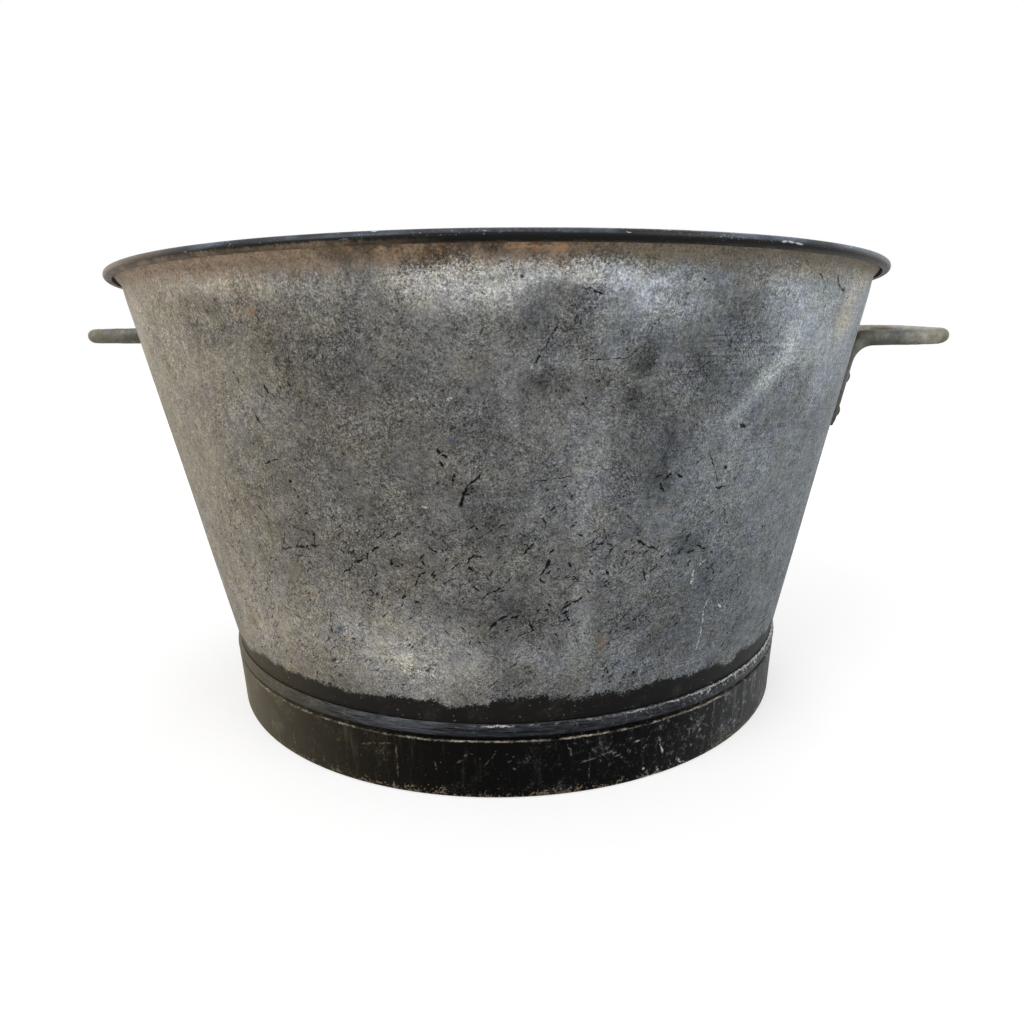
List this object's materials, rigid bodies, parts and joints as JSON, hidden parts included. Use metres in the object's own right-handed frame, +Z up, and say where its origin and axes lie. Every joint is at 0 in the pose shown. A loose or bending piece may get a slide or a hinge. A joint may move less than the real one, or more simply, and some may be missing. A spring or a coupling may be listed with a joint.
{
  "type": "washing tub",
  "caption": "Round sheet-steel washing tub with a widening wall, wired rolled rim, beaded foot ring and riveted rod handles at the sides.",
  "frame": {"origin": "on the ground at the tub's axis", "axes": "+Z up along the tub's axis, +X towards the right handle, front towards -Y"},
  "size_m": [0.77, 0.6498, 0.363],
  "materials": {
    "zinc_sheet": "dull weathered zinc",
    "wire_steel": "bare drawn wire",
    "black_paint": "worn black paint",
    "handle_iron": "dull galvanised iron with rust",
    "rivet_iron": "dull galvanised iron"
  },
  "bodies": {
    "root": {"front_wall": "zinc_sheet", "rear_wall": "zinc_sheet", "rim_wire": "wire_steel", "bottom_sheet": "zinc_sheet", "foot_ring": "black_paint", "foot_ring_rivets": "black_paint", "right_handle": "handle_iron", "left_handle": "handle_iron", "right_handle_rivets": "rivet_iron", "left_handle_rivets": "rivet_iron", "right_rivet_washers": "zinc_sheet", "left_rivet_washers": "zinc_sheet"}
  },
  "joints": []
}
